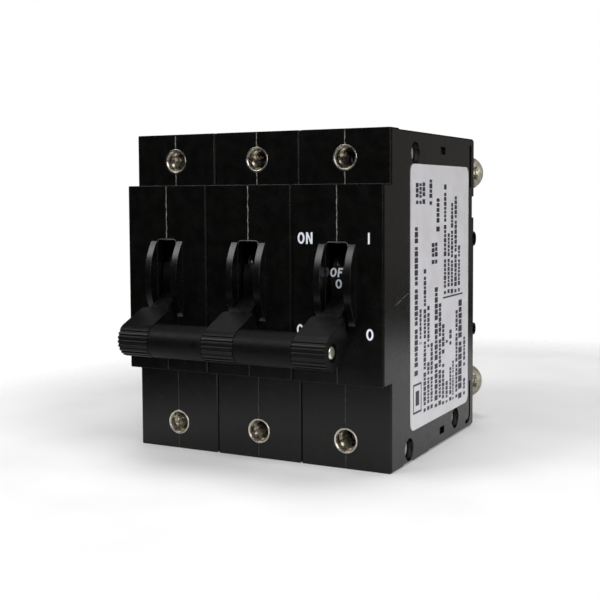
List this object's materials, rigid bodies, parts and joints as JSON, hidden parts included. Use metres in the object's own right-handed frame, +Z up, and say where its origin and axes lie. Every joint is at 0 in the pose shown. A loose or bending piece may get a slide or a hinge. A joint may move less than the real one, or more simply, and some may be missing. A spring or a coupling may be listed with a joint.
{
  "type": "multi-pole circuit breaker",
  "caption": "Panel-mount multi-pole hydraulic-magnetic circuit breaker with split black cases, tied rocker handles and rear screw terminals.",
  "frame": {"origin": "centre of the front mounting insert pattern, on the front seating face of the casing", "axes": "+X to the right seen from the front, +Y into the breaker towards the terminals, +Z up (handle up is ON)"},
  "size_m": [0.0571, 0.0758, 0.0646],
  "materials": {
    "case_black": "black moulded thermoset, fine satin texture",
    "handle_black": "black moulded handle plastic, satin, ribbed grip",
    "insert_brass": "nickel-plated brass, bright",
    "zinc_steel": "zinc-plated steel, bright with a pale yellow tint",
    "steel": "bright steel",
    "strap_metal": "tin-plated copper strap",
    "copper": "bare and enamelled copper",
    "silver_contact": "silver alloy contact facing",
    "magnet_iron": "grey zinc-plated magnet iron",
    "fibre": "vulcanised fibre sheet",
    "spool_plastic": "natural glass-filled nylon",
    "label": "silver-grey printed polyester label"
  },
  "bodies": {
    "casing": {"case_left_1": "case_black", "case_right_1": "case_black", "line_terminal_1": "strap_metal", "load_terminal_1": "strap_metal", "dashpot_tube_1": "copper", "bobbin_1": "spool_plastic", "coil_1": "copper", "magnet_frame_1": "magnet_iron", "case_left_2": "case_black", "case_right_2": "case_black", "line_terminal_2": "strap_metal", "load_terminal_2": "strap_metal", "dashpot_tube_2": "copper", "bobbin_2": "spool_plastic", "coil_2": "copper", "magnet_frame_2": "magnet_iron", "case_left_3": "case_black", "case_right_3": "case_black", "line_terminal_3": "strap_metal", "load_terminal_3": "strap_metal", "dashpot_tube_3": "copper", "bobbin_3": "spool_plastic", "coil_3": "copper", "magnet_frame_3": "magnet_iron", "fixed_contacts": "silver_contact", "terminal_screws": "zinc_steel", "lock_washers": "zinc_steel", "arc_plates": "steel", "arc_chute_sides": "fibre", "panel_inserts": "insert_brass", "pivot_pins": "steel", "through_rivets": "zinc_steel", "pole_pieces": "magnet_iron", "pigtails": "copper", "arm_springs": "steel", "rating_label": "label"},
    "handles": {"handle_1": "handle_black", "handle_2": "handle_black", "handle_3": "handle_black", "tie_sleeves": "handle_black", "tie_rod": "zinc_steel"},
    "link_1": {"link_1": "steel"},
    "arm_1": {"contact_arm_1": "copper", "moving_contact_1": "silver_contact"},
    "armature_1": {"armature_1": "magnet_iron"},
    "core_1": {"core_1": "magnet_iron", "core_spring_1": "steel"},
    "link_2": {"link_2": "steel"},
    "arm_2": {"contact_arm_2": "copper", "moving_contact_2": "silver_contact"},
    "armature_2": {"armature_2": "magnet_iron"},
    "core_2": {"core_2": "magnet_iron", "core_spring_2": "steel"},
    "link_3": {"link_3": "steel"},
    "arm_3": {"contact_arm_3": "copper", "moving_contact_3": "silver_contact"},
    "armature_3": {"armature_3": "magnet_iron"},
    "core_3": {"core_3": "magnet_iron", "core_spring_3": "steel"},
    "trip_bar": {"trip_bar": "handle_black"}
  },
  "joints": [
    {"name": "handle_tilt", "type": "hinge", "parent": "casing", "child": "handles", "pos_m": [0, 0.0065, 0.00315], "axis": [-1, 0, 0], "range_deg": [0, 57]},
    {"name": "link_1_swing", "type": "hinge", "parent": "handles", "child": "link_1", "pos_m": [-0.01905, 0.00351, 0.0063], "axis": [-1, 0, 0], "range_deg": [-57.5, 0.5]},
    {"name": "contact_1_swing", "type": "hinge", "parent": "casing", "child": "arm_1", "pos_m": [-0.01905, 0.0295, -0.001], "axis": [-1, 0, 0], "range_deg": [-0.5, 30.5]},
    {"name": "armature_1_pull", "type": "hinge", "parent": "casing", "child": "armature_1", "pos_m": [-0.01905, 0.0272, -0.0064], "axis": [-1, 0, 0], "range_deg": [0, 9], "stiffness_Nm_per_rad": 0.002, "springref_deg": -9.74},
    {"name": "core_1_rise", "type": "slide", "parent": "casing", "child": "core_1", "axis": [0, 0, 1], "range_m": [0, 0.0055], "stiffness_N_per_m": 15, "springref_m": -0.002, "deforming": ["core_spring_1"]},
    {"name": "link_2_swing", "type": "hinge", "parent": "handles", "child": "link_2", "pos_m": [0, 0.00351, 0.0063], "axis": [-1, 0, 0], "range_deg": [-57.5, 0.5]},
    {"name": "contact_2_swing", "type": "hinge", "parent": "casing", "child": "arm_2", "pos_m": [0, 0.0295, -0.001], "axis": [-1, 0, 0], "range_deg": [-0.5, 30.5]},
    {"name": "armature_2_pull", "type": "hinge", "parent": "casing", "child": "armature_2", "pos_m": [0, 0.0272, -0.0064], "axis": [-1, 0, 0], "range_deg": [0, 9], "stiffness_Nm_per_rad": 0.002, "springref_deg": -9.74},
    {"name": "core_2_rise", "type": "slide", "parent": "casing", "child": "core_2", "axis": [0, 0, 1], "range_m": [0, 0.0055], "stiffness_N_per_m": 15, "springref_m": -0.002, "deforming": ["core_spring_2"]},
    {"name": "link_3_swing", "type": "hinge", "parent": "handles", "child": "link_3", "pos_m": [0.01905, 0.00351, 0.0063], "axis": [-1, 0, 0], "range_deg": [-57.5, 0.5]},
    {"name": "contact_3_swing", "type": "hinge", "parent": "casing", "child": "arm_3", "pos_m": [0.01905, 0.0295, -0.001], "axis": [-1, 0, 0], "range_deg": [-0.5, 30.5]},
    {"name": "armature_3_pull", "type": "hinge", "parent": "casing", "child": "armature_3", "pos_m": [0.01905, 0.0272, -0.0064], "axis": [-1, 0, 0], "range_deg": [0, 9], "stiffness_Nm_per_rad": 0.002, "springref_deg": -9.74},
    {"name": "core_3_rise", "type": "slide", "parent": "casing", "child": "core_3", "axis": [0, 0, 1], "range_m": [0, 0.0055], "stiffness_N_per_m": 15, "springref_m": -0.002, "deforming": ["core_spring_3"]},
    {"name": "trip_bar_turn", "type": "hinge", "parent": "casing", "child": "trip_bar", "pos_m": [0, 0.014, -0.0095], "axis": [1, 0, 0], "range_deg": [0, 12], "stiffness_Nm_per_rad": 0.002, "springref_deg": -9.74}
  ],
  "couplings": [
    {"joint": "link_1_swing", "follows": "handle_tilt", "ratio": -1},
    {"joint": "contact_1_swing", "follows": "handle_tilt", "ratio": 0.52632},
    {"joint": "link_2_swing", "follows": "handle_tilt", "ratio": -1},
    {"joint": "contact_2_swing", "follows": "handle_tilt", "ratio": 0.52632},
    {"joint": "link_3_swing", "follows": "handle_tilt", "ratio": -1},
    {"joint": "contact_3_swing", "follows": "handle_tilt", "ratio": 0.52632}
  ]
}
